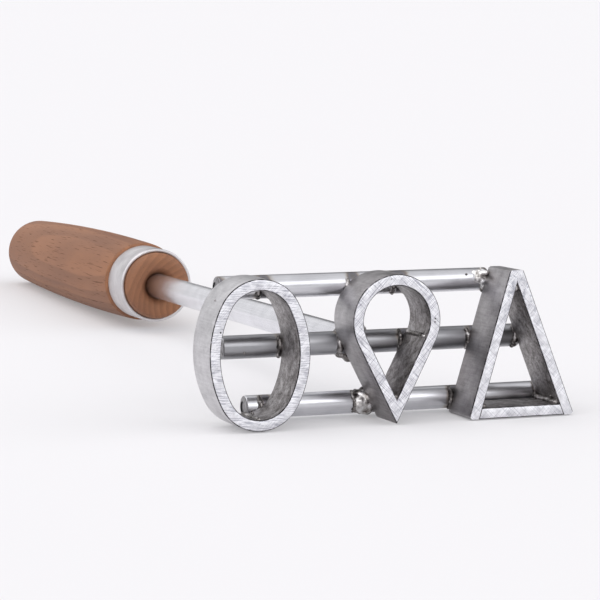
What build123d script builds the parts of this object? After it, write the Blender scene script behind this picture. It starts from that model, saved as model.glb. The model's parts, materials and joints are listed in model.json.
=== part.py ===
"""Hot stamping tool for leather: three open figures of flat bar on three rods, a shank and a handle.

The tool is laid out along its own axis first: the stamping faces lie in the plane y = 0, the
shank runs along +Y and the figures stand up along +Z.  At the end the whole tool is tipped by the
small angle at which it lies at rest, on the back edges of the figures and on its handle.
"""
from build123d import *
import math
import os

# ---------------------------------------------------------------- driving dimensions (mm)
# Flat bar that all the figures are made from
bar_thickness = 3.0
bar_depth = 14.0
figure_height = 40.0

# Oval: two bent half bars
oval_left = -46.7
oval_width = 27.9
oval_end_radius = 12.0

# Drop, round end up: one bent crown bar over two straight bars
drop_left = -6.7
drop_width = 25.1

# Triangle: three straight bars
triangle_left = 26.9
triangle_width = 31.5
triangle_apex_width = 3.9
triangle_apex_shift = -1.9

# Rods that carry the figures
rod_diameter = 6.35
rod_gap = 0.02
top_rod_inset = 0.525
bottom_rod_inset = 0.925
middle_rod_rise = 0.4
top_rod_start = -39.0
middle_rod_start = -38.0
bottom_rod_start = -31.3

# Shank and its tang inside the handle
shank_diameter = 8.0
shank_x = 0.0
shank_cope = 1.5
shank_free_length = 170.0
tang_length = 70.0

# Turned wooden handle and its ferrule
handle_length = 158.0
nose_reach = 3.5
nose_rounding = 2.6
mouth_diameter = 12.0
mouth_depth = 2.5
belly_diameter = 27.4
belly_from_tip = 68.0
barrel_radius = 2000.0
butt_rounding = 8.0
shoulder_rounding = 1.2
ferrule_length = 15.0
ferrule_wall = 1.2
ferrule_bore = 22.0

# Fits
tang_clearance = 0.02
tang_end_gap = 1.0
ferrule_clearance = 0.02

# Welds
weld_setback = 1.0
corner_weld_leg = 2.0
seam_weld_radius = 1.2
rod_weld_height = 0.8
rod_weld_length = 6.6
shank_weld_radius = 6.2

# ---------------------------------------------------------------- sizes that follow from them
rod_radius = rod_diameter / 2
shank_radius = shank_diameter / 2
belly_radius = belly_diameter / 2
middle_height = figure_height / 2
rod_y = bar_depth + rod_gap + rod_radius
top_rod_height = figure_height - top_rod_inset - rod_radius
middle_rod_height = middle_height + middle_rod_rise
bottom_rod_height = bottom_rod_inset + rod_radius
shank_start = rod_y + rod_radius - shank_cope
nose_tip = rod_y + shank_free_length
tang_end = nose_tip + tang_length
ferrule_front = nose_tip + nose_reach
ferrule_back = ferrule_front + ferrule_length
handle_end = nose_tip + handle_length
belly_y = nose_tip + belly_from_tip


def bar(outline):
    """Piece of flat bar: a closed outline, drawn as (x, z), from the stamping face to the back."""
    return extrude(Plane.XZ * make_face(outline), amount=-bar_depth)


def polygon(*points):
    return Polyline(*points, close=True)


def on_circle(centre, radius, angle):
    """Point on a circle, at an angle in degrees from +X towards +Z."""
    turn = math.radians(angle)
    return centre[0] + radius * math.cos(turn), centre[1] + radius * math.sin(turn)


def arc(centre, radius, start, end):
    middle = (start + end) / 2
    return ThreePointArc(*[on_circle(centre, radius, angle) for angle in (start, middle, end)])


def along_shank(profile):
    """Solid of revolution about the shank, from a profile drawn as (radius, distance along Y)."""
    return Pos(shank_x, 0, middle_rod_height) * revolve(make_face(profile), Axis.Y)


# ---------------------------------------------------------------- oval
oval_middle = oval_left + oval_width / 2
oval_half = oval_width / 2
oval_end_height = middle_height - oval_end_radius
oval_side_radius = ((oval_half ** 2 + oval_end_height ** 2 - oval_end_radius ** 2)
                    / (2 * (oval_half - oval_end_radius)))
oval_side_angle = math.degrees(math.atan2(oval_end_height, oval_side_radius - oval_half))


def oval_half_bar(side):
    """One half of the oval, from top to bottom: side is -1 for the left and 1 for the right."""
    top = (oval_middle, middle_height + oval_end_height)
    bottom = (oval_middle, middle_height - oval_end_height)
    flank = (oval_middle - side * (oval_side_radius - oval_half), middle_height)
    lean = oval_side_angle

    def angle(value):
        return value if side > 0 else 180 - value

    edges = []
    for inset in (0, bar_thickness):
        end, long_side = oval_end_radius - inset, oval_side_radius - inset
        edges.append(arc(top, end, angle(90), angle(lean)))
        edges.append(arc(flank, long_side, angle(lean), angle(-lean)))
        edges.append(arc(bottom, end, angle(-lean), angle(-90)))
    seams = [Line((oval_middle, z), (oval_middle, z + bar_thickness))
             for z in (0, figure_height - bar_thickness)]
    return bar(edges + seams)


def oval_reach(height):
    """Half width of the oval's middle line at a height in one of its round ends."""
    mean_radius = oval_end_radius - bar_thickness / 2
    rise = abs(height - middle_height) - oval_end_height
    return math.sqrt(mean_radius ** 2 - rise ** 2)


# ---------------------------------------------------------------- drop
drop_radius = drop_width / 2
drop_middle = drop_left + drop_radius
drop_centre = (drop_middle, figure_height - drop_radius)
drop_tip_angle = math.asin(drop_radius / drop_centre[1])
drop_joint_angle = -math.degrees(drop_tip_angle)
drop_inner_tip = bar_thickness / math.sin(drop_tip_angle)
drop_slice = bar_thickness / math.cos(drop_tip_angle)


def drop_crown_bar():
    """Bent bar, more than half a circle, down to where the straight bars leave it."""
    start, end = drop_joint_angle, 180 - drop_joint_angle
    inner_radius = drop_radius - bar_thickness
    ends = [Line(on_circle(drop_centre, inner_radius, angle), on_circle(drop_centre, drop_radius, angle))
            for angle in (start, end)]
    return bar([arc(drop_centre, drop_radius, start, end), arc(drop_centre, inner_radius, start, end)] + ends)


def drop_joint(side, radius):
    """End of the crown bar on one side, at a radius inside the bar."""
    angle = drop_joint_angle if side > 0 else 180 - drop_joint_angle
    return on_circle(drop_centre, radius, angle)


def drop_straight_bar(side):
    """Straight bar from the crown down to the tip, where it meets its twin."""
    return bar(polygon(drop_joint(side, drop_radius), (drop_middle, 0), (drop_middle, drop_inner_tip),
                       drop_joint(side, drop_radius - bar_thickness)))


# ---------------------------------------------------------------- triangle
triangle_right = triangle_left + triangle_width
apex_middle = (triangle_left + triangle_right) / 2 + triangle_apex_shift
apex_left = apex_middle - triangle_apex_width / 2
apex_right = apex_middle + triangle_apex_width / 2
left_lean = (apex_left - triangle_left) / figure_height
right_lean = (triangle_right - apex_right) / figure_height
left_slice = bar_thickness * math.hypot(1, left_lean)
right_slice = bar_thickness * math.hypot(1, right_lean)


def inner_left_at(height):
    return triangle_left + left_slice + left_lean * height


def inner_right_at(height):
    return triangle_right - right_slice - right_lean * height


inner_apex_height = (inner_right_at(0) - inner_left_at(0)) / (left_lean + right_lean)
inner_apex = (inner_left_at(inner_apex_height), inner_apex_height)


def triangle_side_bar(foot, inner_foot, shoulder):
    """Leaning bar from the floor to the apex, mitred there against its twin."""
    return bar(polygon((foot, 0), (inner_foot, 0), inner_apex, (apex_middle, figure_height),
                       (shoulder, figure_height)))


def triangle_base_bar():
    """Straight bar let in between the feet of the leaning bars."""
    t = bar_thickness
    return bar(polygon((inner_left_at(0), 0), (inner_right_at(0), 0), (inner_right_at(t), t),
                       (inner_left_at(t), t)))


# ---------------------------------------------------------------- rods and shank
def rod(start, end, height):
    """Round rod along X, lying against the back edges of the figures."""
    length = end - start
    return Pos(start + length / 2, rod_y, height) * Rot(0, 90, 0) * Cylinder(rod_radius, length)


def shank():
    """Round bar with its tang, before its front end is coped to the middle rod."""
    return along_shank(polygon((0, shank_start), (shank_radius, shank_start),
                               (shank_radius, tang_end), (0, tang_end)))


# ---------------------------------------------------------------- handle and ferrule
def barrel_radius_at(y):
    """Radius of the handle's gently swelling barrel at a distance along the tool."""
    return belly_radius - barrel_radius + math.sqrt(barrel_radius ** 2 - (y - belly_y) ** 2)


def handle():
    """Turned wood: nose, seat for the ferrule, shoulder, barrel and rounded butt, with a blind bore."""
    seat = ferrule_bore / 2 - ferrule_clearance
    mouth = mouth_diameter / 2
    hole = shank_radius + tang_clearance
    hole_end = tang_end + tang_end_gap
    shoulder_y = ferrule_back + shoulder_rounding
    shoulder = barrel_radius_at(shoulder_y)
    butt_y = handle_end - butt_rounding
    butt = barrel_radius_at(butt_y)
    return along_shank([
        Line((mouth, nose_tip), (seat - nose_rounding, nose_tip)),
        arc((seat - nose_rounding, nose_tip + nose_rounding), nose_rounding, -90, 0),
        Line((seat, nose_tip + nose_rounding), (seat, ferrule_back)),
        Line((seat, ferrule_back), (shoulder - shoulder_rounding, ferrule_back)),
        arc((shoulder - shoulder_rounding, shoulder_y), shoulder_rounding, -90, 0),
        ThreePointArc((shoulder, shoulder_y), (belly_radius, belly_y), (butt, butt_y)),
        arc((butt - butt_rounding, butt_y), butt_rounding, 0, 90),
        Line((butt - butt_rounding, handle_end), (0, handle_end)),
        Line((0, handle_end), (0, hole_end)),
        Line((0, hole_end), (hole, hole_end)),
        Line((hole, hole_end), (hole, nose_tip + mouth_depth)),
        Line((hole, nose_tip + mouth_depth), (mouth, nose_tip)),
    ])


def ferrule():
    """Steel sleeve round the handle's seat, between the nose and the shoulder."""
    inside, outside = ferrule_bore / 2, ferrule_bore / 2 + ferrule_wall
    return along_shank(polygon((inside, ferrule_front), (outside, ferrule_front),
                               (outside, ferrule_back), (inside, ferrule_back)))


# ---------------------------------------------------------------- welds
def corner_weld(corner, along_a, along_b):
    """Fillet of weld metal in an inner corner, between two bars that leave it along a and b."""
    (x, z), leg = corner, corner_weld_leg
    bead = make_face(polygon(corner, (x + along_a[0] * leg, z + along_a[1] * leg),
                             (x + along_b[0] * leg, z + along_b[1] * leg)))
    return Pos(0, weld_setback, 0) * extrude(Plane.XZ * bead, amount=2 * weld_setback - bar_depth)


def seam_weld(point, neighbours):
    """Bead along the inside of a butt joint, standing proud of the bars that it joins."""
    bead = Pos(point[0], bar_depth / 2, point[1]) * Rot(90, 0, 0) * Cylinder(
        seam_weld_radius, bar_depth - 2 * weld_setback)
    return bead - neighbours


def rod_weld(x, height, neighbours):
    """Bead where a rod crosses a bar: a half collar on the rod, cut back to the metal it joins."""
    collar = Pos(x, rod_y, height) * Rot(0, 90, 0) * Cylinder(rod_radius + rod_weld_height, rod_weld_length)
    back_half = Pos(x, rod_y + rod_diameter - rod_weld_height, height) * Box(
        2 * rod_weld_length, 2 * rod_diameter, 4 * rod_diameter)
    return collar - back_half - neighbours


def group(beads):
    return Compound([solid for bead in beads for solid in bead.solids()])


def shank_weld(neighbours):
    """Ring of weld metal where the shank meets the middle rod."""
    ring = Pos(shank_x, rod_y + rod_radius, middle_rod_height) * Rot(90, 0, 0) * Cylinder(
        shank_weld_radius, 2 * shank_weld_radius - rod_radius)
    front = Pos(shank_x, 0, middle_rod_height) * Box(3 * shank_weld_radius, 2 * rod_y, 3 * shank_weld_radius)
    rounded = fillet(ring.edges().filter_by(GeomType.CIRCLE), shank_weld_radius / 2 - weld_setback)
    return rounded - front - neighbours


def up(lean):
    """Direction up a bar that leans by so much in X for each millimetre of height."""
    length = math.hypot(lean, 1)
    return lean / length, 1 / length


def down(lean):
    x, z = up(lean)
    return -x, -z


def main():
    nodes = {
        "oval_left_bar": oval_half_bar(-1),
        "oval_right_bar": oval_half_bar(1),
        "drop_crown_bar": drop_crown_bar(),
        "drop_left_bar": drop_straight_bar(-1),
        "drop_right_bar": drop_straight_bar(1),
        "triangle_left_bar": triangle_side_bar(triangle_left, inner_left_at(0), apex_left),
        "triangle_right_bar": triangle_side_bar(triangle_right, inner_right_at(0), apex_right),
        "triangle_base_bar": triangle_base_bar(),
    }
    bars = list(nodes.values())

    t = bar_thickness
    drop_lean = math.tan(drop_tip_angle)
    inner_crown = drop_radius - t
    nodes["oval_seam_welds"] = group([
        seam_weld((oval_middle, t), bars), seam_weld((oval_middle, figure_height - t), bars)])
    nodes["drop_seam_welds"] = group([
        seam_weld(drop_joint(-1, inner_crown), bars), seam_weld(drop_joint(1, inner_crown), bars),
        corner_weld((drop_middle, drop_inner_tip), up(drop_lean), up(-drop_lean))])
    nodes["triangle_corner_welds"] = group([
        corner_weld((inner_left_at(t), t), (1, 0), up(left_lean)),
        corner_weld((inner_right_at(t), t), (-1, 0), up(-right_lean)),
        corner_weld(inner_apex, down(left_lean), down(-right_lean))])

    left_bar_top = inner_left_at(top_rod_height) - left_slice / 2
    nodes["top_rod"] = rod(top_rod_start, left_bar_top, top_rod_height)
    nodes["middle_rod"] = rod(
        middle_rod_start, inner_right_at(middle_rod_height) + right_slice / 2, middle_rod_height)
    nodes["bottom_rod"] = rod(
        bottom_rod_start, inner_right_at(bottom_rod_height) + right_slice / 2, bottom_rod_height)

    crown_reach = math.sqrt((drop_radius - t / 2) ** 2 - (top_rod_height - drop_centre[1]) ** 2)
    waist_reach = drop_lean * middle_rod_height - drop_slice / 2
    crossings = {
        "top_rod": (top_rod_height, [
            oval_middle - oval_reach(top_rod_height), oval_middle + oval_reach(top_rod_height),
            drop_middle - crown_reach, drop_middle + crown_reach, left_bar_top]),
        "middle_rod": (middle_rod_height, [
            oval_middle + oval_half - t / 2, drop_middle - waist_reach, drop_middle + waist_reach,
            inner_left_at(middle_rod_height) - left_slice / 2, inner_right_at(middle_rod_height)]),
        "bottom_rod": (bottom_rod_height, [
            oval_middle + oval_reach(bottom_rod_height), drop_middle,
            inner_left_at(bottom_rod_height) - left_slice / 2, inner_right_at(bottom_rod_height)]),
    }
    for name, (height, places) in crossings.items():
        neighbours = bars + [nodes[name]]
        nodes[name + "_welds"] = group([rod_weld(x, height, neighbours) for x in places])

    nodes["shank"] = shank() - nodes["middle_rod"]
    nodes["shank_weld"] = shank_weld([nodes["middle_rod"], nodes["shank"]])
    nodes["handle"] = handle()
    nodes["ferrule"] = ferrule()
    write(at_rest(nodes))


def at_rest(nodes):
    """Tip the tool onto the back edges of its figures and its handle, and centre it on the floor."""
    barrel_centre_height = middle_rod_height + barrel_radius - belly_radius
    reach = belly_y - bar_depth
    to_centre = math.hypot(reach, barrel_centre_height)
    slope = math.atan2(barrel_centre_height, reach) - math.asin(barrel_radius / to_centre)
    tipped = {name: Rot(-math.degrees(slope), 0, 0) * Pos(0, -bar_depth, 0) * piece
              for name, piece in nodes.items()}
    box = Compound([solid for piece in tipped.values() for solid in piece.solids()]).bounding_box()
    home = Pos(-box.center().X, -box.center().Y, -box.min.Z)
    size = " x ".join(f"{length:.2f}" for length in box.size)
    print(f"lies at {math.degrees(slope):.3f} degrees, box {size}")
    print(f"moved home by {home.position}")
    return {name: home * piece for name, piece in tipped.items()}


def write(nodes):
    os.makedirs("parts", exist_ok=True)
    for name, piece in nodes.items():
        export_step(piece, f"parts/{name}.step")
        print(f"{name}: {len(piece.solids())} solid(s), {piece.volume:.1f} mm3")


main()
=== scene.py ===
# %% [markdown]
# # A hot stamping tool for leather
# The real tool is welded up from three open figures of flat bar, three round rods and a long
# shank, and it ends in a turned wooden handle with a pale ferrule.
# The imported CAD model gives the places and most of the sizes. This lesson adds the surfaces:
# ground faces, drawn rods, lumpy welds and oiled wood.

# %% Load the CAD model
import bmesh
import bpy
import json
import math
import random
from mathutils import Matrix, Vector


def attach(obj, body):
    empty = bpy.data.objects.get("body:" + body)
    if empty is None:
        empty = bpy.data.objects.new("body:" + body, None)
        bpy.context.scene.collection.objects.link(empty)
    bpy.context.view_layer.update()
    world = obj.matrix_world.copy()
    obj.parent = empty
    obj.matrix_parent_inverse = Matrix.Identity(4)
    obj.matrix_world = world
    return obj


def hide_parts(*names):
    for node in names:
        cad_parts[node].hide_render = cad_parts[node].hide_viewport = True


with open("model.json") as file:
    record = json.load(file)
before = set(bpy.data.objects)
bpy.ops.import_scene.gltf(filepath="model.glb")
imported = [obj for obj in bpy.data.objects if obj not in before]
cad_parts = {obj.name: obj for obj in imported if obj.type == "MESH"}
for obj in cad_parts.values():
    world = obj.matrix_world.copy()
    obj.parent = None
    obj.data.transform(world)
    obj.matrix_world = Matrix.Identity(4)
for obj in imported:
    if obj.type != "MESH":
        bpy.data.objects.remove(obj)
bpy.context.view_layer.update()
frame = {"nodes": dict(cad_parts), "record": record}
mm = 0.001
print("CAD nodes:", sorted(frame["nodes"]))

# %% [markdown]
# ## The tool's own axis
# The tool lies on a table with its head raised a little, so nothing on it is quite square to the
# floor. It could be modelled tilted, but every extrusion would then need an awkward direction.
# It is easier to model each piece square, with the stamping faces in the plane y = 0 and the
# shank along +Y, and to tip the finished piece as the CAD model is tipped.

# %% Find the tilt from the stamping face
face_mount = frame["record"]["mounts"][0]
slope = math.asin(face_mount["axis"][2])
untilt = Matrix.Rotation(slope, 4, "X")
foot = [untilt @ v.co for v in frame["nodes"]["triangle_base_bar"].data.vertices]
row_to_tool = Matrix.Translation((0, -min(p.y for p in foot), -min(p.z for p in foot))) @ untilt
tool_to_row = row_to_tool.inverted()
print(f"the head is raised by {math.degrees(slope):.2f} degrees")


def tool_box(node):
    """Lowest and highest corner of a CAD node, square to the tool."""
    points = [row_to_tool @ v.co for v in frame["nodes"][node].data.vertices]
    return (Vector([min(p[i] for p in points) for i in range(3)]),
            Vector([max(p[i] for p in points) for i in range(3)]))


def tool_size(node):
    low, high = tool_box(node)
    return high - low


def tool_middle(node):
    low, high = tool_box(node)
    return (low + high) / 2


bar_depth = tool_size("triangle_base_bar").y
bar_thickness = tool_size("triangle_base_bar").z
figure_height = tool_size("oval_left_bar").z
print(f"flat bar {bar_thickness / mm:.2f} x {bar_depth / mm:.2f} mm")
print(f"figures {figure_height / mm:.1f} mm high")

# %% [markdown]
# ## Camera
# The tool is looked at from a low place in front and to the left, through a long lens, so the
# figures hide one another a little and the handle runs away to the back left.
# The camera is placed first because everything else is judged through it. A matrix of four
# plain moves is easier to read and to change than one set of angles.

# %% Place the camera
turn_right, look_down, roll = math.radians(21.01), math.radians(7.08), math.radians(0.52)
camera_place = Vector((-269.2 * mm, -800.9 * mm, 118.2 * mm))

camera_data = bpy.data.cameras.new("camera")
camera_data.lens = 156
camera_data.sensor_width = 36
camera_data.clip_start = 0.05
camera = bpy.data.objects.new("camera", camera_data)
camera.matrix_world = (Matrix.Translation(camera_place)
                       @ Matrix.Rotation(-turn_right, 4, "Z")
                       @ Matrix.Rotation(math.pi / 2 - look_down, 4, "X")
                       @ Matrix.Rotation(roll, 4, "Z"))
scene = bpy.context.scene
scene.collection.objects.link(camera)
scene.camera = camera
print(f"camera {camera_place.length:.2f} m from the frame's origin")

# %% [markdown]
# ### Shader sums
# A procedural finish is mostly arithmetic on texture values. Wiring each Math node by hand hides
# that, so one small class wraps a socket and lets a sum be written as a sum.

# %% Socket sums
class Channel:
    """A number that changes over the surface, as the output socket of a node."""

    def __init__(self, recipe, socket):
        self.recipe = recipe
        self.socket = socket

    def calc(self, operation, *values):
        return self.recipe.node("Math", {"operation": operation}, dict(enumerate(values)))

    def __add__(self, other):
        return self.calc("ADD", self, other)

    def __sub__(self, other):
        return self.calc("SUBTRACT", self, other)

    def __rsub__(self, other):
        return self.calc("SUBTRACT", other, self)

    def __mul__(self, other):
        return self.calc("MULTIPLY", self, other)

    def __truediv__(self, other):
        return self.calc("DIVIDE", self, other)

    def __abs__(self):
        return self.calc("ABSOLUTE", self)

    __radd__ = __add__
    __rmul__ = __mul__


print("sums ready")

# %% [markdown]
# ### Recipes
# Every other node comes from one method of the recipe that is being written, and each method is a
# move that the finishes share: place a texture, ramp it, blend two colours, raise the surface.
# Node groups could share them too, but constants have to sit on the shader's own sockets.

# %% Recipes
class Recipe:
    """A node tree that is written from its textures to its surface."""

    def __init__(self, name, owner=None):
        self.owner = owner or bpy.data.materials.new(name)
        self.owner.use_nodes = True
        self.tree = self.owner.node_tree
        self.tree.nodes.clear()

    def node(self, kind, settings=(), inputs=(), output=0):
        """Add one node: settings first, then the value or the link of each named input."""
        node = self.tree.nodes.new("ShaderNode" + kind)
        for key, value in dict(settings).items():
            if key == "stops":
                self.set_stops(node.color_ramp, value)
            else:
                setattr(node, key, value)
        for key, value in dict(inputs).items():
            if isinstance(value, Channel):
                self.tree.links.new(value.socket, node.inputs[key])
            else:
                node.inputs[key].default_value = value
        return Channel(self, node.outputs[output]) if len(node.outputs) else None

    @staticmethod
    def set_stops(ramp, stops):
        while len(ramp.elements) < len(stops):
            ramp.elements.new(0.5)
        for element, (position, colour) in zip(ramp.elements, stops):
            element.position = position
            element.color = (*colour, 1) if hasattr(colour, "__len__") else (colour, colour, colour, 1)

    def place(self):
        """Object coordinates, moved and turned square to the tool."""
        there = self.node("TexCoord", output="Object")
        return self.node("Mapping", (), {"Vector": there, "Rotation": row_to_tool.to_euler(),
                                         "Location": row_to_tool.translation})

    def parts(self, vector):
        split = self.node("SeparateXYZ", (), {0: vector})
        outputs = split.socket.node.outputs
        return [Channel(self, outputs[i]) for i in range(3)]

    def join(self, x, y, z):
        return self.node("CombineXYZ", (), {0: x, 1: y, 2: z})

    def noise(self, vector, scale=1.0, detail=2.0, roughness=0.5, distortion=0.0):
        return self.node("TexNoise", (), {"Vector": vector, "Scale": scale, "Detail": detail,
                                          "Roughness": roughness, "Distortion": distortion})

    def ramp(self, value, *stops):
        return self.node("ValToRGB", {"stops": stops}, {0: value})

    def between(self, value, low, high, start=0.0, end=1.0):
        """Smooth step of a value from low to high, as numbers from start to end."""
        return self.node("MapRange", {"interpolation_type": "SMOOTHSTEP"},
                         {"Value": value, "From Min": low, "From Max": high,
                          "To Min": start, "To Max": end})

    def blend(self, factor, first, second):
        """Mix two colours; each is a colour or the output of a node."""
        colours = [value if isinstance(value, Channel) else (*value, 1) for value in (first, second)]
        # A Mix node has the colours A and B at its inputs 6 and 7, and the mixed colour at output 2.
        return self.node("Mix", {"data_type": "RGBA"},
                         {0: factor, 6: colours[0], 7: colours[1]}, output=2)

    def bump(self, height, distance, strength):
        return self.node("Bump", (), {"Height": height, "Distance": distance, "Strength": strength})

    def surface(self, colour, roughness, metallic=0.0, normal=None, **constants):
        inputs = {"Base Color": colour, "Roughness": roughness, "Metallic": metallic}
        inputs.update({name.replace("_", " "): value for name, value in constants.items()})
        if normal:
            inputs["Normal"] = normal
        shader = self.node("BsdfPrincipled", (), inputs)
        self.node("OutputMaterial", (), {"Surface": shader})
        return self.owner


print("recipes ready")

# %% [markdown]
# ## Floor
# The tool lies on white paper that is lit from all sides, so its shadows are faint. Paper that
# glows a little by itself does the same: the glow fills the shadows and doesn't hide them. The
# sheet is far wider than the tool, so that its edge never shows.

# %% Lay the floor
bpy.ops.object.select_all(action="DESELECT")
floor_width = 400
bpy.ops.mesh.primitive_plane_add(size=floor_width)
floor = bpy.context.object
floor.name = "floor"
paper = Recipe("floor_paper")
floor.data.materials.append(paper.surface((0.55, 0.54, 0.55, 1), 0.8, Specular_IOR_Level=0.0,
                                          Emission_Color=(1.0, 1.0, 1.02, 1), Emission_Strength=0.235))
print(f"floor {floor_width} m wide")

# %% [markdown]
# ## Light
# Steel has no look of its own and only shows what is round it, so the room is designed first:
# a bright panel in front above the camera for the highlight on the rods, a pale ceiling, a pale
# floor, and one dark corner at the back right for the dark line along their tops. The room is
# written as a sum over the direction of view, where x, y and z run from -1 to 1. Lamps would need
# one object for each of these. One far softbox overhead adds the tool's soft shadow.

# %% Light the studio
scene.view_settings.view_transform = "Standard"
scene.world = bpy.data.worlds.new("studio")
sky = Recipe("studio", scene.world)
x, y, z = sky.parts(sky.node("TexCoord", output="Generated"))
above_floor = sky.between(z, 0.02, 0.12)
dark_corner = sky.between(x, 0.12, 0.32) * above_floor * sky.between(z, 0.55, 0.75, 1.0, 0.0)
back_wall = 0.85 - 0.65 * dark_corner
key_panel = sky.between(z, 0.24, 0.34) * sky.between(z, 0.60, 0.72, 1.0, 0.0)
ceiling = sky.between(z, 0.60, 0.72)
front_wall = 0.90 - 0.35 * above_floor + 1.85 * key_panel + 0.35 * ceiling
behind = sky.between(y, -0.1, 0.4)
glow = back_wall * behind + front_wall * (1 - behind)
light_bath = sky.node("Background", (), {"Color": (0.985, 0.985, 1.0, 1), "Strength": glow})
sky.node("OutputWorld", (), {"Surface": light_bath})

softbox = bpy.data.lights.new("ceiling_softbox", "SUN")
softbox.energy = 0.7
softbox.angle = math.radians(45)
softbox_lamp = bpy.data.objects.new("ceiling_softbox", softbox)
softbox_lamp.rotation_euler = (math.radians(-12), math.radians(-24), 0)
scene.collection.objects.link(softbox_lamp)
print(f"studio lit by a room and one softbox, {math.degrees(softbox.angle):.0f} degrees wide")

# %% [markdown]
# ## Working by hand, in code
# These helpers are the moves that a hand makes over and over: select nothing or one piece, fix it
# where it stands, open it, and pick faces by where they point. Picking by a test goes on working
# when a size changes, which a list of face numbers doesn't.

# %% Select and pick
def clear_selection():
    if bpy.context.object and bpy.context.object.mode != "OBJECT":
        bpy.ops.object.mode_set(mode="OBJECT")
    bpy.ops.object.select_all(action="DESELECT")


def take(piece):
    """Make a piece the only one selected."""
    clear_selection()
    piece.select_set(True)
    bpy.context.view_layer.objects.active = piece


def apply_place(piece):
    take(piece)
    bpy.ops.object.transform_apply(location=True, rotation=True, scale=True)


def start_piece(node):
    """Name the new primitive after its CAD node, fix it where it stands and open it for editing."""
    piece = bpy.context.object
    piece.name = piece.data.name = node + "_piece"
    apply_place(piece)
    bpy.ops.object.mode_set(mode="EDIT")
    return piece


def pick_faces(piece, test):
    """In edit mode, select only the faces that pass a test."""
    bpy.ops.mesh.select_all(action="DESELECT")
    bpy.ops.mesh.select_mode(type="FACE")
    mesh = bmesh.from_edit_mesh(piece.data)
    for face in mesh.faces:
        face.select_set(bool(test(face)))
    bmesh.update_edit_mesh(piece.data)


print("selecting ready")

# %% [markdown]
# ### Handing a piece over
# Cuts and merges can leave doubled corners and faces that point inwards, so each bar and each
# turned piece is tidied. Then every piece is shaded, tipped into the row's frame and attached to
# the root, and the CAD node that it stands for is hidden.

# %% Tidy and hand over
def tidy_mesh(piece):
    """Weld doubles and point the faces outwards."""
    bpy.ops.mesh.select_all(action="SELECT")
    bpy.ops.mesh.remove_doubles(threshold=0.002 * mm)
    bpy.ops.mesh.normals_make_consistent(inside=False)


def finish_piece(piece, nodes, smooth=32):
    """Tip a finished piece into place and let it stand for its CAD nodes."""
    take(piece)
    bpy.ops.object.shade_smooth_by_angle(angle=math.radians(smooth))
    piece.matrix_world = tool_to_row @ piece.matrix_world
    apply_place(piece)
    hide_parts(*nodes)
    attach(piece, "root")
    print(f"{piece.name}: {len(piece.data.polygons)} faces")


print("handing over ready")

# %% [markdown]
# ## Scratches
# Belt grinding leaves straight grooves much finer than the bar. Each groove could be modelled, but
# noise that is stretched far along one direction gives thousands of them for one node.

# %% Scratch marks
def scratches(recipe, x, z, angle, pitch, length, keep):
    """Fine straight scratches: 1 in a groove and 0 on the land, along an angle from +X to +Z."""
    turn = math.radians(angle)
    along = x * math.cos(turn) + z * math.sin(turn)
    across = z * math.cos(turn) - x * math.sin(turn)
    lines = recipe.noise(recipe.join(along / length, across / pitch, 0.0), detail=1.0)
    return recipe.between(lines, keep, keep + 0.05)


print("scratches ready")

# %% [markdown]
# ## Ground face
# The stamping faces were ground bright on a coarse belt: straight across the bars of the oval,
# first one way and then the other on the rest. The triangle's tip has dents that the belt didn't
# reach. One finish serves all three figures, because masks along X choose the marks.

# %% Ground face
def ground_face():
    """Belt-ground steel: level ticks on the oval, crossing scratches elsewhere, pits and dents."""
    steel = Recipe("ground_face")
    place = steel.place()
    x, _, z = steel.parts(place)
    rising = scratches(steel, x, z, 47, 0.25 * mm, 9 * mm, 0.55)
    falling = scratches(steel, x, z, -44, 0.24 * mm, 9 * mm, 0.56)
    level = scratches(steel, x, z, -5, 0.23 * mm, 4 * mm, 0.51)
    patch = steel.between(steel.noise(place, 130), 0.40, 0.58)
    on_oval = steel.between(x, -16 * mm, -10 * mm, 1.0, 0.0)
    fainter_on_triangle = steel.between(x, 14 * mm, 22 * mm, 1.0, 0.6)
    crossed = (rising * (0.3 + patch * 0.55) + falling * (1.0 - patch * 0.45)) * fainter_on_triangle
    groove = on_oval * (level * 0.75 + rising * patch * 0.35) + (1 - on_oval) * crossed
    cells = steel.node("TexVoronoi", (), {"Vector": place, "Scale": 300.0})
    pit = steel.between(cells, 0.05, 0.10, 1.0, 0.0) * steel.between(steel.noise(place, 100, 0.0), 0.52, 0.56)
    cloud = steel.noise(place, 420, 4.0, 0.62)
    tone = steel.ramp(cloud, (0.34, (0.64, 0.64, 0.67)), (0.60, (0.92, 0.92, 0.95)))
    tone = steel.blend(groove * 0.75, tone, (0.32, 0.32, 0.375))
    tone = steel.blend(pit, tone, (0.04, 0.035, 0.03))
    near_apex = steel.between(x, 26 * mm, 33 * mm) * steel.between(z, 20 * mm, 33 * mm)
    dent = steel.between(steel.noise(place, 900), 0.50, 0.62) * near_apex
    tone = steel.blend(dent * 0.6, tone, (0.34, 0.35, 0.40))
    height = cloud * 0.5 - groove - pit * 3.0 - dent * 3.0
    return steel.surface(tone, 0.33 + cloud * 0.14 + groove * 0.12, 1.0, steel.bump(height, 0.035 * mm, 0.6))


print("ground face ready")
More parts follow.
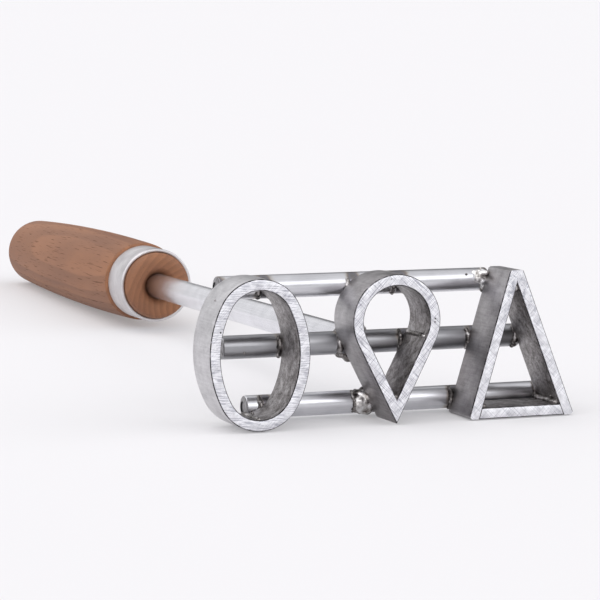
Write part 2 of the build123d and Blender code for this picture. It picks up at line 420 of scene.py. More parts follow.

# %% [markdown]
# ## Sides of the bar
# The outsides were only dressed lightly. Past the oval they are painted darker, as painted shade
# from the neighbouring figures, and less so towards the top, as painted light from above. The
# insides still have the dark skin of the mill, since no belt reaches them, painted darker still
# for the shade inside the figures. Both are mottled at several sizes at once, so their tone is a
# sum of noises from broad to fine, and the same sum lifts the surface a little.

# %% Outside and inside of the bar
def bar_outside():
    """Dressed outside of the bar: satin and light on the oval, and a darker taupe painted shade to the right.
    """
    steel = Recipe("bar_outside")
    place = steel.place()
    x, y, z = steel.parts(place)
    streak = steel.noise(steel.join(x / (0.5 * mm), y / (7 * mm), z / (0.5 * mm)))
    mottle = steel.noise(place, 300, 5.0, 0.62, 0.4)
    broad = steel.noise(place, 70)
    grain = steel.noise(place, 2600)
    shade = mottle * 0.45 + streak * 0.22 + grain * 0.18 + broad * 0.15
    light = steel.ramp(shade, (0.36, (0.46, 0.45, 0.465)), (0.62, (0.70, 0.69, 0.705)))
    painted_shade_tone = steel.ramp(shade, (0.36, (0.15, 0.138, 0.142)), (0.62, (0.36, 0.34, 0.35)))
    shade_past_oval = steel.between(x, -18 * mm, -8 * mm)
    less_shade_on_top = steel.between(z, 0.0, 42 * mm, 1.0, 0.8)
    less_shade_on_triangle = steel.between(x, 12 * mm, 20 * mm, 1.0, 0.84)
    # Painted shade and light: past the oval the outside is darkened for the shade of the neighbouring
    # figures, less towards the top, where more light falls, and less on the triangle.
    tone = steel.blend(shade_past_oval * less_shade_on_top * less_shade_on_triangle, light, painted_shade_tone)
    return steel.surface(tone, 0.34 + mottle * 0.14, 1.0, steel.bump(shade, 0.05 * mm, 0.5))


def bar_inside():
    """Untouched inside of the bar: dark taupe mill skin, painted darker still for the shade inside the
    figures, with small bright grains and pits.
    """
    steel = Recipe("bar_inside")
    place = steel.place()
    mottle = steel.noise(place, 480, 5.0, 0.66, 0.5)
    grain = steel.noise(place, 2000)
    # The dark end of this ramp is partly the mill skin and partly painted shade for the inside of the
    # figures.
    tone = steel.ramp(mottle * 0.7 + grain * 0.3, (0.36, (0.12, 0.108, 0.106)),
                      (0.50, (0.32, 0.30, 0.30)), (0.64, (0.58, 0.56, 0.57)))
    return steel.surface(tone, 0.38 + mottle * 0.2, 1.0, steel.bump(mottle + grain * 0.4, 0.07 * mm, 0.6))


print("sides ready")

# %% [markdown]
# ## Broken edge
# A file took the sharpness off every long edge, and the thin bevel is coloured dark, so it draws a
# dark line round the bright face. The line is a real bevel with a finish of its own.

# %% Broken edge
def broken_edge():
    """The thin bevel that the file left: dark in its hollows, brighter on its crest."""
    steel = Recipe("broken_edge")
    place = steel.place()
    wear = steel.noise(place, 520, 4.0, 0.65)
    tone = steel.ramp(wear, (0.46, (0.02, 0.018, 0.02)), (0.70, (0.34, 0.33, 0.35)))
    return steel.surface(tone, 0.45, 1.0, steel.bump(wear, 0.05 * mm, 0.6))


bar_finishes = [ground_face(), broken_edge(), bar_outside(), bar_inside()]
GROUND, EDGE, OUTSIDE, INSIDE = range(4)
print("broken edge ready")

# %% [markdown]
# ## Flat bar, bent and straight
# Real bars start as a straight strip and are bent round a former or cut at an angle. The same is
# done here: a small rounded section is placed at one end, spun round each bend's centre or
# extruded along each straight, and cut with a bisecting plane where two bars are mitred.
# An array or a curve with a bevel would be quicker, but would leave no control over the corners.

# %% Sweep a bar
edge_break = 0.24 * mm
arc_step = math.radians(3)
straight_steps = 6


def bar_section(node, x, z, heading):
    """Start a bar: its section, square to a heading in degrees from +X to +Z."""
    clear_selection()
    tip = math.radians(90 - heading)
    bpy.ops.mesh.primitive_plane_add(size=1, location=(x, bar_depth / 2, z), rotation=(0, tip, 0))
    bpy.context.object.scale = (bar_thickness, bar_depth, 1)
    piece = start_piece(node)
    bpy.ops.mesh.select_all(action="SELECT")
    bpy.ops.mesh.bevel(offset=edge_break, segments=2, affect="VERTICES")
    bpy.ops.mesh.select_all(action="SELECT")
    return piece


def go_straight(dx, dz):
    stride = (dx / straight_steps, 0, dz / straight_steps)
    for _ in range(straight_steps):
        bpy.ops.mesh.extrude_region_move(TRANSFORM_OT_translate={"value": stride})


def go_round(centre, degrees):
    """Bend the bar about a centre: positive turns from +X to +Z."""
    angle = math.radians(degrees)
    steps = max(2, round(abs(angle) / arc_step))
    bpy.ops.mesh.spin(steps=steps, angle=angle, center=(centre[0], 0, centre[1]), axis=(0, 1, 0))


def cut(place, normal):
    """Saw the bar off: what lies on the side that the normal points to goes, and the cut is closed."""
    bpy.ops.mesh.select_all(action="SELECT")
    bpy.ops.mesh.bisect(plane_co=place, plane_no=normal, use_fill=True, clear_outer=True)


print(f"bars get edges broken by {edge_break / mm:.2f} mm")

# %% [markdown]
# ### Which side has which finish
# The finish of each face follows from where the face points: forwards, out of the figure or into
# it. Choosing by direction works for straight and bent bars alike, and nothing is picked by hand.

# %% Paint a bar
square_on, along_side = 0.96, 0.12


def paint_bar(piece, inside_point):
    """Give each face of a bar the finish of the side that it is on."""
    for finish in bar_finishes:
        piece.data.materials.append(finish)
    for face in piece.data.polygons:
        inwards = Vector(inside_point) - face.center
        inwards.y = 0
        if abs(face.normal.y) > square_on:
            face.material_index = GROUND if face.normal.y < 0 else OUTSIDE
        elif abs(face.normal.y) > along_side:
            face.material_index = EDGE
        else:
            face.material_index = INSIDE if face.normal.dot(inwards) > 0 else OUTSIDE


def finish_bar(piece, inside, node):
    tidy_mesh(piece)
    bpy.ops.object.mode_set(mode="OBJECT")
    paint_bar(piece, (inside[0], 0, inside[1]))
    finish_piece(piece, [node])


print("finishes in order:", [finish.name for finish in bar_finishes])

# %% [markdown]
# ### The oval
# The left figure is an upright oval: two bent halves, butt welded at top and bottom. An oval of
# four arcs keeps the bar's thickness even, which a stretched circle wouldn't.

# %% Bend the two halves of the oval
oval_low, oval_high = tool_box("oval_left_bar")[0], tool_box("oval_right_bar")[1]
oval_middle = (oval_low.x + oval_high.x) / 2
oval_half = (oval_high.x - oval_low.x) / 2
oval_end_radius = 12 * mm
middle_height = figure_height / 2
oval_top_centre = figure_height - oval_end_radius
end_rise = middle_height - oval_end_radius
side_radius = (oval_half ** 2 + end_rise ** 2 - oval_end_radius ** 2) / (2 * (oval_half - oval_end_radius))
side_lean = math.degrees(math.atan2(end_rise, side_radius - oval_half))


def oval_bar(node, side):
    """Half of the oval from the bottom seam to the top one: side is 1 for the right half."""
    heading = 0 if side > 0 else 180
    piece = bar_section(node, oval_middle, bar_thickness / 2, heading)
    go_round((oval_middle, oval_end_radius), side * (90 - side_lean))
    go_round((oval_middle - side * (side_radius - oval_half), middle_height), side * 2 * side_lean)
    go_round((oval_middle, oval_top_centre), side * (90 - side_lean))
    finish_bar(piece, (oval_middle, middle_height), node)


oval_bar("oval_left_bar", -1)
oval_bar("oval_right_bar", 1)

# %% [markdown]
# ### The drop
# The middle figure is a drop with its round end up: a crown bent to more than half a circle, and
# two straight bars that meet in a point. The crown could be cut out of a ring, but bending it
# from its section gives the same even faces as the other bars.

# %% Bend the crown
drop_low, drop_high = tool_box("drop_crown_bar")
drop_radius = (drop_high.x - drop_low.x) / 2
drop_middle = (drop_high.x + drop_low.x) / 2
drop_centre = (drop_middle, figure_height - drop_radius)
drop_tip_angle = math.asin(drop_radius / drop_centre[1])
drop_slant = math.degrees(drop_tip_angle)
mean_radius = drop_radius - bar_thickness / 2


def drop_joint(side, radius):
    """Where the crown ends on one side, at a distance from the crown's centre."""
    return (drop_middle + side * radius * math.cos(drop_tip_angle),
            drop_centre[1] - radius * math.sin(drop_tip_angle))


crown = bar_section("drop_crown_bar", *drop_joint(1, mean_radius), 90 - drop_slant)
go_round(drop_centre, 180 + 2 * drop_slant)
finish_bar(crown, drop_centre, "drop_crown_bar")

# %% [markdown]
# ### The drop's straight bars
# Each runs on from the crown without a bend. It is sawn twice: along the middle of the figure for
# the mitre, and level just above the table, which leaves a small flat at the point.

# %% Cut the drop's straight bars
tip_clearance = 0.12 * mm
leg_length = 1.2 * drop_centre[1]
for side, node in ((-1, "drop_left_bar"), (1, "drop_right_bar")):
    leg = bar_section(node, *drop_joint(side, mean_radius), 270 - side * drop_slant)
    go_straight(-side * leg_length * math.sin(drop_tip_angle), -leg_length * math.cos(drop_tip_angle))
    cut((drop_middle, 0, 0), (-side, 0, 0))
    cut((0, 0, tip_clearance), (0, 0, -1))
    finish_bar(leg, drop_centre, node)

# %% [markdown]
# ### The triangle
# The right figure is three straight bars. The two leaning bars run from the floor to a blunt
# apex, where they are mitred, and the base is let in between their feet. The inner corners are
# worked out first, since both the cuts and the welds need them.

# %% Set out the triangle
left_foot, left_top = tool_box("triangle_left_bar")
right_end = tool_box("triangle_right_bar")[1].x
apex_middle = left_top.x
apex_half = 1.95 * mm
left_lean = (apex_middle - apex_half - left_foot.x) / figure_height
right_lean = (right_end - apex_middle - apex_half) / figure_height
inner_left = left_foot.x + bar_thickness * math.hypot(1, left_lean)
inner_right = right_end - bar_thickness * math.hypot(1, right_lean)
inner_apex_height = (inner_right - inner_left) / (left_lean + right_lean)
inner_apex_x = inner_left + left_lean * inner_apex_height
triangle_inside = (inner_apex_x, figure_height / 3)
mitre = Vector((apex_middle - inner_apex_x, 0, figure_height - inner_apex_height)).normalized()
mitre_normal = Vector((mitre.z, 0, -mitre.x))
apex_place = (apex_middle, 0, figure_height)
print(f"the opening's apex is {inner_apex_height / mm:.1f} mm high")

# %% [markdown]
# ### Leaning bars
# A leaning bar starts below the floor and ends above the apex, so that level cuts can square both
# ends at once. Its outer corners were ground round. A bevel needs the right edges picked after
# each cut, so a few more cuts, each turned a little further, are easier to aim.

# %% Lean a bar and round its corners
spare = 4 * mm


def leaning_bar(node, foot_x, lean, side):
    """Bar that leans by so much in X for each metre of height; side is -1 for the left one."""
    slant = math.atan(lean)
    middle_x = foot_x - side * bar_thickness / 2 / math.cos(slant)
    piece = bar_section(node, middle_x + side * lean * spare, -spare, 90 + side * math.degrees(slant))
    height = figure_height + 3 * spare
    go_straight(-side * lean * height, height)
    cut((0, 0, 0), (0, 0, -1))
    cut((0, 0, figure_height), (0, 0, 1))
    return piece


def round_corner(x, z, side_way, end_way, radius):
    """Round a corner over the whole depth of a bar, with flat cuts between two outward directions."""
    side_way, end_way = side_way.normalized(), end_way.normalized()
    spread = side_way.x * end_way.z - side_way.z * end_way.x
    centre = Vector((x + radius * (side_way.z - end_way.z) / spread, 0,
                     z + radius * (end_way.x - side_way.x) / spread))
    for share in (0.2, 0.4, 0.6, 0.8):
        way = side_way.lerp(end_way, share).normalized()
        cut(centre + way * radius, way)


print("ready to lean bars")

# %% [markdown]
# ### The triangle's bars
# Left and right are the same job in mirror image, each with a lean of its own, so one loop cuts
# both. The base is cut to the slant of the two bars that it fits between.

# %% Cut the three bars of the triangle
foot_round, top_round = 0.9 * mm, 1.1 * mm
down, up = Vector((0, 0, -1)), Vector((0, 0, 1))
for node, foot_x, lean, side in (("triangle_left_bar", left_foot.x, left_lean, -1),
                                 ("triangle_right_bar", right_end, right_lean, 1)):
    bar = leaning_bar(node, foot_x, lean, side)
    cut(apex_place, mitre_normal * -side)
    outwards = Vector((side, 0, lean))
    round_corner(foot_x, 0, outwards, down, foot_round)
    round_corner(apex_middle + side * apex_half, figure_height, outwards, up, top_round)
    finish_bar(bar, triangle_inside, node)

base_low, base_high = tool_box("triangle_base_bar")
base_bar = bar_section("triangle_base_bar", base_low.x - spare / 2, bar_thickness / 2, 0)
go_straight(base_high.x - base_low.x + spare, 0)
cut((inner_left, 0, 0), (-1, 0, left_lean))
cut((inner_right, 0, 0), (1, 0, right_lean))
finish_bar(base_bar, triangle_inside, "triangle_base_bar")

# %% [markdown]
# ## Drawn steel
# Rods and shank are cold drawn round bar: smooth, with hair lines along them. Near each weld the
# heat has coloured the steel from straw to brown to blue, most on the side where the weld is.
# The colours follow from the distance to each weld, so they move with the rods.

# %% Drawn steel with heat colours
rod_radius = tool_size("top_rod").z / 2
rod_y = tool_middle("top_rod").y
rod_front = rod_y - rod_radius
heat_spread = 4 * mm


def drawn_steel(name, burns, axis, brightness, dullness):
    """Bright drawn bar along X or Y, tinted near the places where it was welded."""
    steel = Recipe(name)
    place = steel.place()
    channels = steel.parts(place)
    along = channels[axis]
    stretch = [channel / (0.25 * mm) for channel in channels]
    stretch[axis] = along / (30 * mm)
    lines = steel.noise(steel.join(*stretch))
    cloud = steel.noise(place, 130, 3.0, 0.6)
    ragged = (cloud - 0.5) * (6 * mm)
    near = [steel.between(abs(along - burn) + ragged, 0.0, heat_spread, 1.0, 0.0) for burn in burns]
    heat = near[0]
    for other in near[1:]:
        heat = heat.calc("MAXIMUM", heat, other)
    if axis == 0:
        heat = heat * steel.between(channels[1], rod_front + 0.8 * mm, rod_front + 5.5 * mm, 1.0, 0.12)
    low, high = brightness * 0.82, brightness
    bare = steel.ramp(cloud * 0.6 + lines * 0.4, (0.35, (low, low, low * 1.05)),
                      (0.65, (high, high, high * 1.04)))
    burnt = steel.ramp(heat, (0.0, (high, high, high)), (0.30, (0.44, 0.405, 0.35)),
                       (0.55, (0.28, 0.235, 0.205)), (0.80, (0.21, 0.205, 0.23)),
                       (1.0, (0.20, 0.19, 0.19)))
    tone = steel.blend(steel.between(heat, 0.0, 0.7), bare, burnt)
    rough = dullness + cloud * 0.10 + lines * 0.05
    return steel.surface(tone, rough, 1.0, steel.bump(lines + cloud * 0.4, 0.012 * mm, 0.5))


print(f"heat colours reach {heat_spread / mm:.0f} mm from each weld")

# %% [markdown]
# ## Sawn end
# The ends of the rods were only sawn, so they are duller than the rest and have parallel lines.
# The lines are too fine to model, and a bump from noise that is stretched upwards is enough.

# %% Sawn end
def sawn_end():
    """Cut end of a rod: fine parallel saw lines."""
    steel = Recipe("sawn_end")
    _, y, z = steel.parts(steel.place())
    lines = steel.noise(steel.join(0.0, y / (0.2 * mm), z / (2 * mm)))
    tone = steel.ramp(lines, (0.35, (0.15, 0.145, 0.15)), (0.65, (0.46, 0.45, 0.46)))
    return steel.surface(tone, 0.42, 1.0, steel.bump(lines, 0.04 * mm, 0.5))


end_finish = sawn_end()
print("sawn end ready")

# %% [markdown]
# ## Round bar
# A length of bar is a cylinder with its rims broken by a file and a shallow mark from the saw in
# each end. The ends are picked by where they point, bevelled, and inset.

# %% Cut a round bar
rim_break = 0.35 * mm
saw_mark_depth = 0.06 * mm


def round_bar(node, burns, axis, brightness, dullness):
    """Round bar of a CAD node's size along X (axis 0) or Y (axis 1), with broken rims."""
    size = tool_size(node)
    radius = size.z / 2
    turn = (0, math.pi / 2, 0) if axis == 0 else (math.pi / 2, 0, 0)
    clear_selection()
    bpy.ops.mesh.primitive_cylinder_add(vertices=72, radius=radius, depth=size[axis],
                                        location=tool_middle(node), rotation=turn)
    piece = start_piece(node)
    pick_faces(piece, lambda face: abs(face.normal[axis]) > 0.9)
    bpy.ops.mesh.bevel(offset=rim_break, segments=3, affect="EDGES")
    pick_faces(piece, lambda face: abs(face.normal[axis]) > 0.9)
    bpy.ops.mesh.inset(thickness=radius * 0.45, depth=saw_mark_depth)
    bpy.ops.object.mode_set(mode="OBJECT")
    piece.data.materials.append(drawn_steel(piece.name + "_steel", burns, axis, brightness, dullness))
    piece.data.materials.append(end_finish)
    for face in piece.data.polygons:
        face.material_index = 1 if abs(face.normal[axis]) > 0.85 else 0
    finish_piece(piece, [node])


print(f"rims get broken by {rim_break / mm:.2f} mm")

# %% [markdown]
# ## Where the rods cross the bars
# Every crossing has a weld, and the heat colours lie round it. The places are worked out from the
# outlines of the figures, since a list of them would be wrong as soon as a figure changed.

# %% Find where the rods cross the bars
rod_height = {name: tool_middle(name).z for name in ("top_rod", "middle_rod", "bottom_rod")}
top, middle, bottom = rod_height.values()
shank_middle = tool_middle("shank")


def oval_reach(height):
    """Half the width of the oval at a height near its ends, to the middle of the bar."""
    rise = abs(height - middle_height) - end_rise
    return math.sqrt((oval_end_radius - bar_thickness / 2) ** 2 - rise ** 2)


def left_bar_at(height):
    return left_foot.x + left_lean * height + bar_thickness * math.hypot(1, left_lean) / 2


def right_bar_at(height):
    return right_end - right_lean * height - bar_thickness * math.hypot(1, right_lean) / 2


crown_reach = math.sqrt(mean_radius ** 2 - (top - drop_centre[1]) ** 2)
waist_reach = math.tan(drop_tip_angle) * middle - bar_thickness / (2 * math.cos(drop_tip_angle))
crossings = {
    "top_rod": [oval_middle - oval_reach(top), oval_middle + oval_reach(top),
                drop_middle - crown_reach, drop_middle + crown_reach, left_bar_at(top)],
    "middle_rod": [oval_high.x - bar_thickness / 2, drop_middle - waist_reach, drop_middle + waist_reach,
                   left_bar_at(middle), right_bar_at(middle)],
    "bottom_rod": [oval_middle + oval_reach(bottom), drop_middle, left_bar_at(bottom),
                   right_bar_at(bottom)],
}
for name, places in crossings.items():
    print(name, "crosses a bar at x =", [round(x / mm, 1) for x in places], "mm")

# %% [markdown]
# ## Rods and shank
# The middle rod is painted darker than the other two, as painted shade for the shade of the figures
# that it lies in, and the shank is polished. One function cuts all four, since only their length,
# their direction and their finish differ.

# %% Cut the rods and the shank
round_bar("top_rod", crossings["top_rod"], 0, brightness=0.70, dullness=0.23)
# The middle rod's low brightness is painted shade: it lies in the shade behind the figures.
round_bar("middle_rod", crossings["middle_rod"] + [shank_middle.x], 0, brightness=0.40, dullness=0.30)
round_bar("bottom_rod", crossings["bottom_rod"], 0, brightness=0.72, dullness=0.23)
round_bar("shank", [rod_y], 1, brightness=0.86, dullness=0.17)

# %% [markdown]
# ## Weld metal
# Most of the welds are dull and a little brown, and the two heaviest stayed bright. It is the
# same lumpy metal in other tones, so one recipe makes both.

# %% Weld metal
def weld_metal(name, hollow, skin, crest):
    """Lumpy metal, darker and browner in its hollows."""
    steel = Recipe(name)
    place = steel.place()
    cloud = steel.noise(place, 380, 4.0, 0.6, 0.3)
    fine = steel.noise(place, 1800, 3.0)
    tone = steel.ramp(cloud, (0.36, hollow), (0.50, skin), (0.66, crest))
    return steel.surface(tone, 0.22 + fine * 0.18, 1.0, steel.bump(cloud + fine * 0.3, 0.08 * mm, 0.5))


weld_finishes = [
    weld_metal("dull_weld", (0.05, 0.045, 0.044), (0.20, 0.185, 0.178), (0.55, 0.53, 0.53)),
    weld_metal("bright_weld", (0.14, 0.118, 0.105), (0.60, 0.58, 0.57), (0.95, 0.95, 0.97)),
]
print("weld finishes:", [finish.name for finish in weld_finishes])

# %% [markdown]
# ## Balls of metal
# A hand-laid weld is a row of drops that ran together, with a few beads of spatter beside it. Each
# drop starts as a small ball, set on the joint, nudged about and pulled a little out of round.
# The nudges come from one seeded generator, so every run lays the same welds.

# %% Lay balls of metal
chance = random.Random(7)


def nudge(amount):
    return Vector([chance.uniform(-amount, amount) for _ in range(3)])


def lay_balls(drops):
    """One ball for each (place, radius), each a little out of round."""
    balls = []
    for place, radius in drops:
        bpy.ops.mesh.primitive_ico_sphere_add(subdivisions=3, radius=radius, location=place)
        ball = bpy.context.object
        ball.scale = [chance.uniform(0.85, 1.15) for _ in range(3)]
        balls.append(ball)
    return balls


def join_pieces(pieces):
    clear_selection()
    for piece in pieces:
        piece.select_set(True)
    bpy.context.view_layer.objects.active = pieces[0]
    bpy.ops.object.join()
    joined = bpy.context.object
    apply_place(joined)
    return joined


print("balls ready")

# %% [markdown]
# ## Melting drops together
# A voxel remesh melts the balls into one skin, and a smoothing pass takes the corners off, which
# is close to what the puddle does. Metaballs would melt too, but they keep no hollows between the
# drops. Spatter is added after the melt, so it stays as loose beads.

# %% Melt drops into a weld
voxel = 0.22 * mm


def melt(node, drops, bright=(), spatter=()):
    """Run (place, radius) drops together into one weld, shiny near its bright places."""
    piece = join_pieces(lay_balls(drops))
    remesh = piece.modifiers.new("puddle", "REMESH")
    remesh.mode = "VOXEL"
    remesh.voxel_size = voxel
    bpy.ops.object.modifier_apply(modifier="puddle")
    smooth = piece.modifiers.new("surface_tension", "SMOOTH")
    smooth.factor = 0.7
    smooth.iterations = 7
    bpy.ops.object.modifier_apply(modifier="surface_tension")
    if spatter:
        piece = join_pieces([piece] + lay_balls(spatter))
    piece.name = piece.data.name = node + "_piece"
    for finish in weld_finishes:
        piece.data.materials.append(finish)
    for face in piece.data.polygons:
        face.material_index = any((face.center - Vector(place)).length < reach for place, reach in bright)
    finish_piece(piece, [node], smooth=180)


print(f"welds melt at {voxel / mm:.2f} mm")

# %% [markdown]
# ## Drops and beads for the rods
# The rods lie against the backs of the bars, and a short fillet fills the corner on each side of
# each bar. It follows the rod's round, so its drops are set by angle, biggest in the middle.

# %% Drops round a rod
def collar_drops(x, height, side, high, size=0.85 * mm, low=-62, count=9):
    """Drops in the corner between a rod and one side of a bar, from a low to a high angle."""
    drops = []
    ring = rod_radius - 0.05 * mm
    for step in range(count):
        share = step / (count - 1)
        turn = math.radians(low + (high - low) * share)
        swell = 0.75 + 0.35 * math.sin(math.pi * share)
        place = Vector((x + side * (bar_thickness / 2 + 0.25 * mm), rod_y - ring * math.cos(turn),
                        height + ring * math.sin(turn)))
        drops.append((place + nudge(0.16 * mm), size * swell * chance.uniform(0.88, 1.15)))
    return drops


def beads(x, y, z, reach, count, size):
    """A few round beads thrown about a place."""
    return [(Vector((x, y, z)) + nudge(reach), size * chance.uniform(0.7, 1.25)) for _ in range(count)]


print("drops and beads ready")

# %% [markdown]
# ## Heavy welds and spatter
# The welder stayed longest at the triangle's top and at the drop's tip, where the metal piled up
# and stayed bright. A few beads of spatter stuck to the rods and inside the figures.

# %% Lay the heavy welds and the spatter
corner_weld = (crossings["top_rod"][-1] - 2.9 * mm, rod_front + 0.6 * mm, top + 1.0 * mm)
tip_weld = (drop_middle - 3.4 * mm, rod_front + 0.6 * mm, bottom)
shiny_reach = 3.2 * mm
bright_places = {"top_rod": [(corner_weld, shiny_reach)], "bottom_rod": [(tip_weld, shiny_reach)]}
heavy_drops = {"top_rod": beads(*corner_weld, 1.4 * mm, 16, 1.05 * mm), "bottom_rod": []}
# The pile at the drop's tip thins out to the left: how far it is shifted, and how big its drops are.
for shift, size in ((0.6, 1.45), (1.7, 1.25), (2.8, 1.0), (3.9, 0.8), (4.9, 0.6)):
    heavy_drops["bottom_rod"] += collar_drops(drop_middle - shift * mm, bottom, -1, 70, size * mm, -50, 7)
heavy_drops["bottom_rod"] += collar_drops(drop_middle + 1.2 * mm, bottom, 1, 70, 1.1 * mm, -50, 7)
spatter_beads = {
    "top_rod": [((corner_weld[0] - 4.0 * mm, rod_front + 0.5 * mm, top + 1.6 * mm), 0.35 * mm),
                ((oval_middle - 10.3 * mm, 0.45 * bar_depth, oval_top_centre + 6.2 * mm), 0.3 * mm)],
    "middle_rod": [((-38 * mm, rod_front + 0.28 * mm, middle - 1.3 * mm), 0.34 * mm)],
    "bottom_rod": beads(crossings["bottom_rod"][0] - 5 * mm, rod_front - 3 * mm, 3.1 * mm,
                        1.0 * mm, 6, 0.34 * mm)
    + beads(right_bar_at(5 * mm) - 1.5 * mm, 0.25 * bar_depth, 5 * mm, 0.3 * mm, 2, 0.33 * mm),
}
print({name: len(drops) for name, drops in heavy_drops.items()}, "heavy drops")

# %% [markdown]
# ## Rod welds
# Each crossing gets a collar of drops on both sides of its bar, unless the rod ends there. On the
# oval and the drop the top rod's collars stay low, or they would stand up above the bars.

# %% Weld the rods to the bars
full_collar, low_collar = 62, 25
for name, height in rod_height.items():
    drops = list(heavy_drops.get(name, []))
    rod_low, rod_high = tool_box(name)
    for x in crossings[name]:
        highest = low_collar if name == "top_rod" and x < left_foot.x else full_collar
        for side in (-1, 1):
            if rod_low.x < x + side * bar_thickness / 2 < rod_high.x:
                drops += collar_drops(x, height, side, highest)
    melt(name + "_welds", drops, bright_places.get(name, ()), spatter_beads[name])

# %% [markdown]
# ## Seams of the figures
# The welds between the bars show on the inside only, because the outside and the face were ground
# flush. A seam could be a half round bead, but a row of drops has the ripple of a real one.

# %% Weld the seams
seam_start, seam_end = 1.6 * mm, bar_depth - 0.8 * mm
seam_drops = 26


def seam(x, z, size=0.7 * mm):
    """A straight row of drops along the depth of the bar."""
    start, end = Vector((x, seam_start, z)), Vector((x, seam_end, z))
    return [(start.lerp(end, step / (seam_drops - 1)) + nudge(0.08 * mm), size * chance.uniform(0.9, 1.1))
            for step in range(seam_drops)]


sunk = 0.1 * mm
melt("oval_seam_welds", seam(oval_middle, bar_thickness - sunk)
     + seam(oval_middle, figure_height - bar_thickness + sunk))
inner_tip = bar_thickness / math.sin(drop_tip_angle)
inner_joint = drop_radius - bar_thickness + sunk
melt("drop_seam_welds", seam(*drop_joint(-1, inner_joint)) + seam(*drop_joint(1, inner_joint))
     + seam(drop_middle, inner_tip + 0.4 * mm, 1.1 * mm))
corner_inset, corner_height = 0.7 * mm, bar_thickness + 0.3 * mm
melt("triangle_corner_welds",
     seam(inner_left + corner_inset + left_lean * bar_thickness, corner_height, 0.95 * mm)
     + seam(inner_right - corner_inset - right_lean * bar_thickness, corner_height, 0.95 * mm)
     + seam(inner_apex_x, inner_apex_height - 1.2 * mm, 1.2 * mm))

# %% [markdown]
# ## Shank weld
# The shank is coped over the middle rod and welded all round. A torus would be flat and even. The
# ring of drops follows the rod's round back, so it comes forward above and below.

# %% Weld the shank to the middle rod
shank_radius = tool_size("shank").x / 2
ring = shank_radius + 0.4 * mm
ring_count, ring_drop = 24, 1.3 * mm
ring_drops = []
for step in range(ring_count):
    turn = 2 * math.pi * step / ring_count
    rise = ring * math.sin(turn)
    rod_back = rod_y + math.sqrt(max(0, rod_radius ** 2 - rise ** 2))
    place = Vector((shank_middle.x + ring * math.cos(turn), rod_back + 0.6 * mm, shank_middle.z + rise))
    ring_drops.append((place + nudge(0.22 * mm), ring_drop * chance.uniform(0.85, 1.2)))
melt("shank_weld", ring_drops)

# %% [markdown]
# ## Lathe work
# Handle and ferrule were turned on a lathe, so each is a stack of circles. A circle is placed at
# the start of the profile, and each step extrudes it and resizes it about the axis. A spun outline
# would give the same shape, but here each step reads as one cut of the tool.

# %% Turn a profile
def turned(node, profile):
    """Solid of revolution round the shank's axis from (distance along the tool, radius) pairs."""
    here, radius = profile[0]
    clear_selection()
    bpy.ops.mesh.primitive_circle_add(vertices=96, radius=radius, rotation=(math.pi / 2, 0, 0),
                                      location=(shank_middle.x, here, shank_middle.z))
    piece = start_piece(node)
    bpy.ops.mesh.select_mode(type="VERT")
    bpy.ops.mesh.select_all(action="SELECT")
    for distance, new_radius in profile[1:]:
        bpy.ops.mesh.extrude_region_move(TRANSFORM_OT_translate={"value": (0, distance - here, 0)})
        ratio = new_radius / radius
        bpy.ops.transform.resize(value=(ratio, 1, ratio),
                                 center_override=(shank_middle.x, distance, shank_middle.z))
        here, radius = distance, new_radius
    return piece


def quarter(centre, radius, size, start, end, steps=8):
    """Points (distance, radius) on an arc of the profile, from one angle to another."""
    turns = [math.radians(start + (end - start) * step / steps) for step in range(steps + 1)]
    return [(centre - size * math.sin(turn), radius + size * math.cos(turn)) for turn in turns]


def finish_turned(piece, finish, node):
    tidy_mesh(piece)
    bpy.ops.object.mode_set(mode="OBJECT")
    piece.data.materials.append(finish)
    finish_piece(piece, [node], smooth=40)


print("lathe ready")

# %% [markdown]
# ## Wood
# It is a warm brown hardwood with an oil finish. Long pores run along it, and growth rings lie
# across it, which show as arcs at the nose and as broad flames along the barrel. Rings are the
# distance from a pith that is off the handle's middle, bent by noise. A wood picture wrapped
# round it would show a seam, and its end grain wouldn't match its side.

# %% Oiled wood
rings_per_metre = 520


def oiled_wood():
    """Warm brown hardwood: growth rings round an off-centre pith, with pores and a soft polish."""
    wood = Recipe("oiled_wood")
    x, y, z = wood.parts(wood.place())
    wander = wood.noise(wood.join(x * 30, y * 5, z * 30), detail=3.0)
    across = wood.join(x - 9 * mm + wander * (6 * mm), y * 0.02, z - 16 * mm + wander * (4 * mm))
    distance = wood.node("VectorMath", {"operation": "LENGTH"}, {0: across}, output="Value")
    rings = distance * rings_per_metre
    ring = rings.calc("FRACT", rings)
    growth = wood.between(ring, 0.0, 0.85) * (1 - wood.between(ring, 0.88, 1.0))
    pores = wood.noise(wood.join(x / (0.35 * mm), y / (11 * mm), z / (0.35 * mm)))
    pore = wood.between(pores, 0.60, 0.72)
    patch = wood.noise(wood.join(x * 60, y * 14, z * 60), detail=4.0, roughness=0.6)
    tone = wood.blend(growth * 0.55, (0.300, 0.132, 0.064), (0.180, 0.076, 0.037))
    tone = wood.blend(wood.between(patch, 0.35, 0.7, 0.0, 0.6), tone, (0.175, 0.080, 0.048))
    tone = wood.blend(pore * 0.75, tone, (0.10, 0.042, 0.024))
    rough = 0.50 + pore * 0.25 + patch * 0.1
    return wood.surface(tone, rough, 0.0, wood.bump(growth * 0.3 - pore, 0.06 * mm, 0.45),
                        Specular_IOR_Level=0.3)


handle_wood = oiled_wood()
print("wood:", handle_wood.name)

# %% [markdown]
# ## Handle
# It swells to a belly where the hand closes and narrows to a round butt. In front, a step takes the
# ferrule and a short nose stands out of it, with a countersunk hole for the shank. The barrel is
# one long arc, which needs no list of radii.

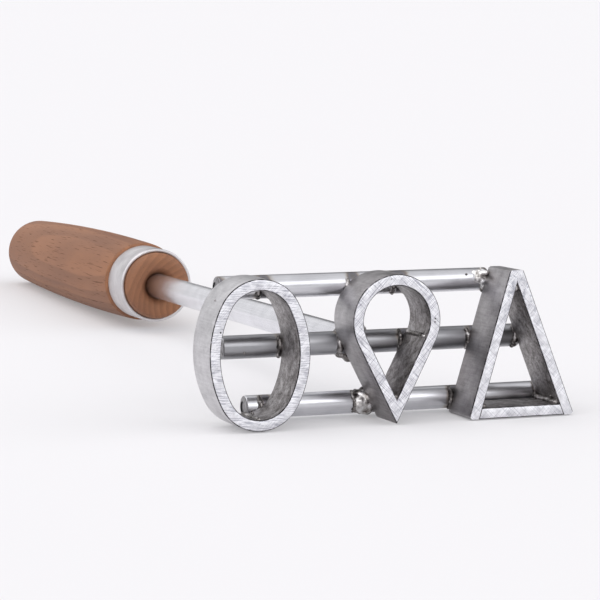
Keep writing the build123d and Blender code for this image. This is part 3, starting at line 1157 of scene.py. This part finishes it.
# %% Turn the wooden handle
handle_low, handle_high = tool_box("handle")
ferrule_low, ferrule_high = tool_box("ferrule")
ferrule_radius = (ferrule_high.x - ferrule_low.x) / 2
ferrule_wall = 1.22 * mm
seat_radius = ferrule_radius - ferrule_wall
handle_radius = (handle_high.x - handle_low.x) / 2
barrel_arc = 2.0
nose_y, shoulder_y = handle_low.y, ferrule_high.y
nose_to_belly = 68 * mm
belly_y = nose_y + nose_to_belly


def barrel(y):
    """Radius of the barrel at a place along the tool: one long arc, widest at the belly."""
    return handle_radius - barrel_arc + math.sqrt(barrel_arc ** 2 - (y - belly_y) ** 2)


bore_radius = shank_radius + 0.1 * mm
bore_shown, sink_depth, sink_radius = 14 * mm, 2.5 * mm, 6.3 * mm
nose_round, shoulder_round, butt_round = 2.6 * mm, 1.2 * mm, 8 * mm
barrel_start, butt_y = shoulder_y + shoulder_round, handle_high.y - butt_round
barrel_steps = 24
profile = [(nose_y + bore_shown, bore_radius), (nose_y + sink_depth, bore_radius),
           (nose_y + 0.4 * mm, sink_radius - 0.6 * mm), (nose_y, sink_radius)]
profile += quarter(nose_y + nose_round, seat_radius - nose_round, nose_round, 90, 0)
profile += [(shoulder_y, seat_radius)]
profile += quarter(barrel_start, barrel(shoulder_y) - shoulder_round, shoulder_round, 90, 0)
for step in range(1, barrel_steps + 1):
    y = barrel_start + (butt_y - barrel_start) * step / barrel_steps
    profile.append((y, barrel(y)))
profile += quarter(butt_y, barrel(butt_y) - butt_round, butt_round, 0, -90, 12)[1:]
# The butt ends in two small circles, and the last one is merged to a point.
profile += [(handle_high.y, 2 * mm), (handle_high.y, 0.3 * mm)]
handle = turned("handle", profile)
bpy.ops.mesh.merge(type="CENTER")
finish_turned(handle, handle_wood, "handle")

# %% [markdown]
# ## Pale metal
# The ferrule is a soft pale metal, turned bright and a little dulled by hands. Its turning lines
# come from noise that is squeezed along the tool, so that they lie round it and cost no faces.

# %% Pale metal
def pale_metal():
    """Plain pale sleeve with turning lines round it and a little dulling."""
    metal = Recipe("pale_metal")
    place = metal.place()
    x, y, z = metal.parts(place)
    turning = metal.noise(metal.join(x * 20, y / (0.3 * mm), z * 20))
    cloud = metal.noise(place, 180, 4.0, 0.6)
    tone = metal.ramp(cloud * 0.7 + turning * 0.3, (0.35, (0.52, 0.50, 0.51)),
                      (0.65, (0.72, 0.70, 0.71)))
    return metal.surface(tone, 0.36 + cloud * 0.18, 1.0, metal.bump(turning, 0.03 * mm, 0.5))


ferrule_metal = pale_metal()
print("metal:", ferrule_metal.name)

# %% [markdown]
# ## Ferrule
# It keeps the wood from splitting. It is a plain sleeve with rolled lips, and its profile closes on
# itself, so that the inside is there too.

# %% Turn the ferrule
lip = 0.45 * mm
inside = seat_radius + 0.03 * mm
front, back = ferrule_low.y, ferrule_high.y
profile = [(back - lip, inside), (front + lip, inside)]
profile += quarter(front + lip, inside + lip, lip, 180, 90, 4)[1:]
profile += quarter(front + lip, ferrule_radius - lip, lip, 90, 0, 4)
profile += [(front + (back - front) * step / 6, ferrule_radius) for step in range(1, 6)]
profile += quarter(back - lip, ferrule_radius - lip, lip, 0, -90, 4)
profile += quarter(back - lip, inside + lip, lip, -90, -180, 4)
finish_turned(turned("ferrule", profile), ferrule_metal, "ferrule")
